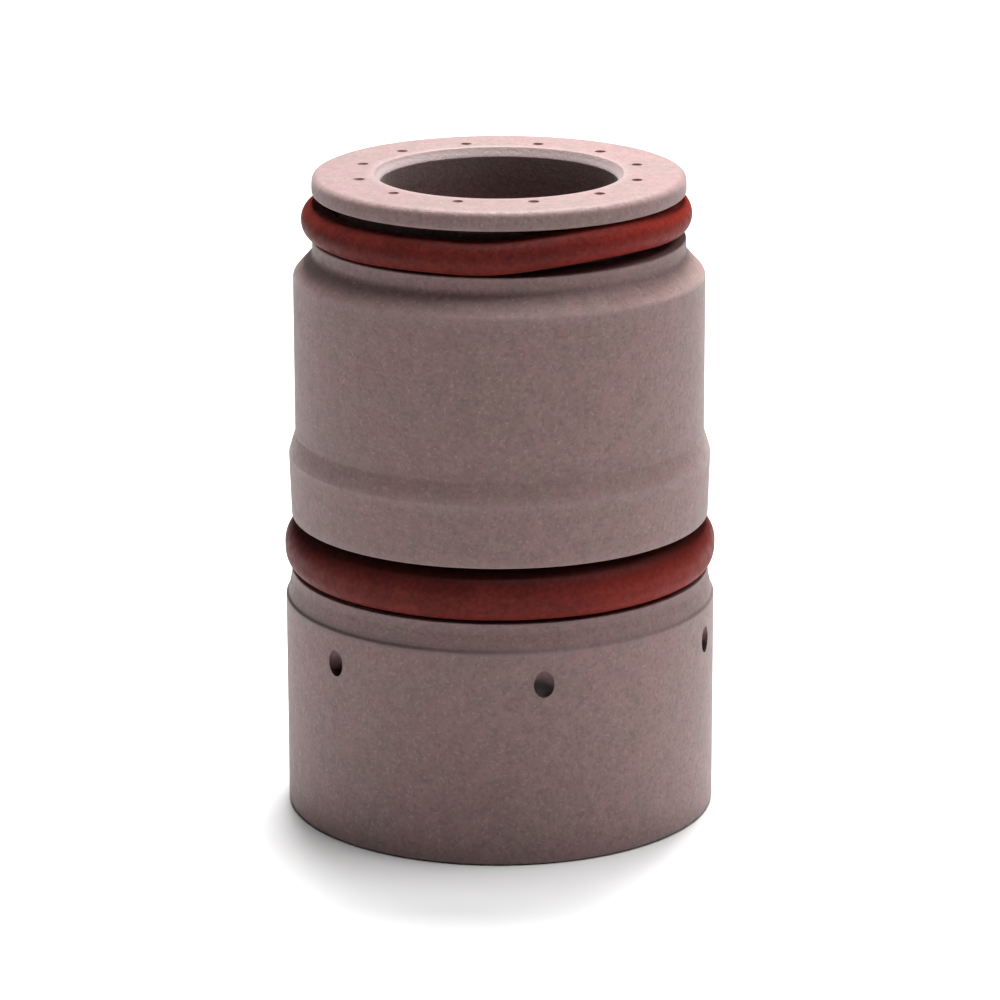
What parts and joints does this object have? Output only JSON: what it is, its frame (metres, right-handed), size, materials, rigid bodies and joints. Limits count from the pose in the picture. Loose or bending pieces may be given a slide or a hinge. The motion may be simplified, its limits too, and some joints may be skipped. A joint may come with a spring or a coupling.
{
  "type": "plasma swirl ring",
  "caption": "Stepped ceramic sleeve for a plasma torch, with slanted side ports, fine gas holes in its nose face, and rubber seal rings seated in outer grooves.",
  "frame": {"origin": "centre of the wide rear end face, which the part stands on", "axes": "+Z along the sleeve's axis, from the rear end face to the nose face; +X to the right and +Y away from the viewer in the picture"},
  "size_m": [0.0222, 0.0222, 0.0333],
  "materials": {
    "fired_ceramic": "matte, fine grained",
    "seal_rubber": "satin silicone"
  },
  "bodies": {
    "root": {"swirl_ring_body": "fired_ceramic", "nose_seal_ring": "seal_rubber", "rear_seal_ring": "seal_rubber"}
  },
  "joints": []
}
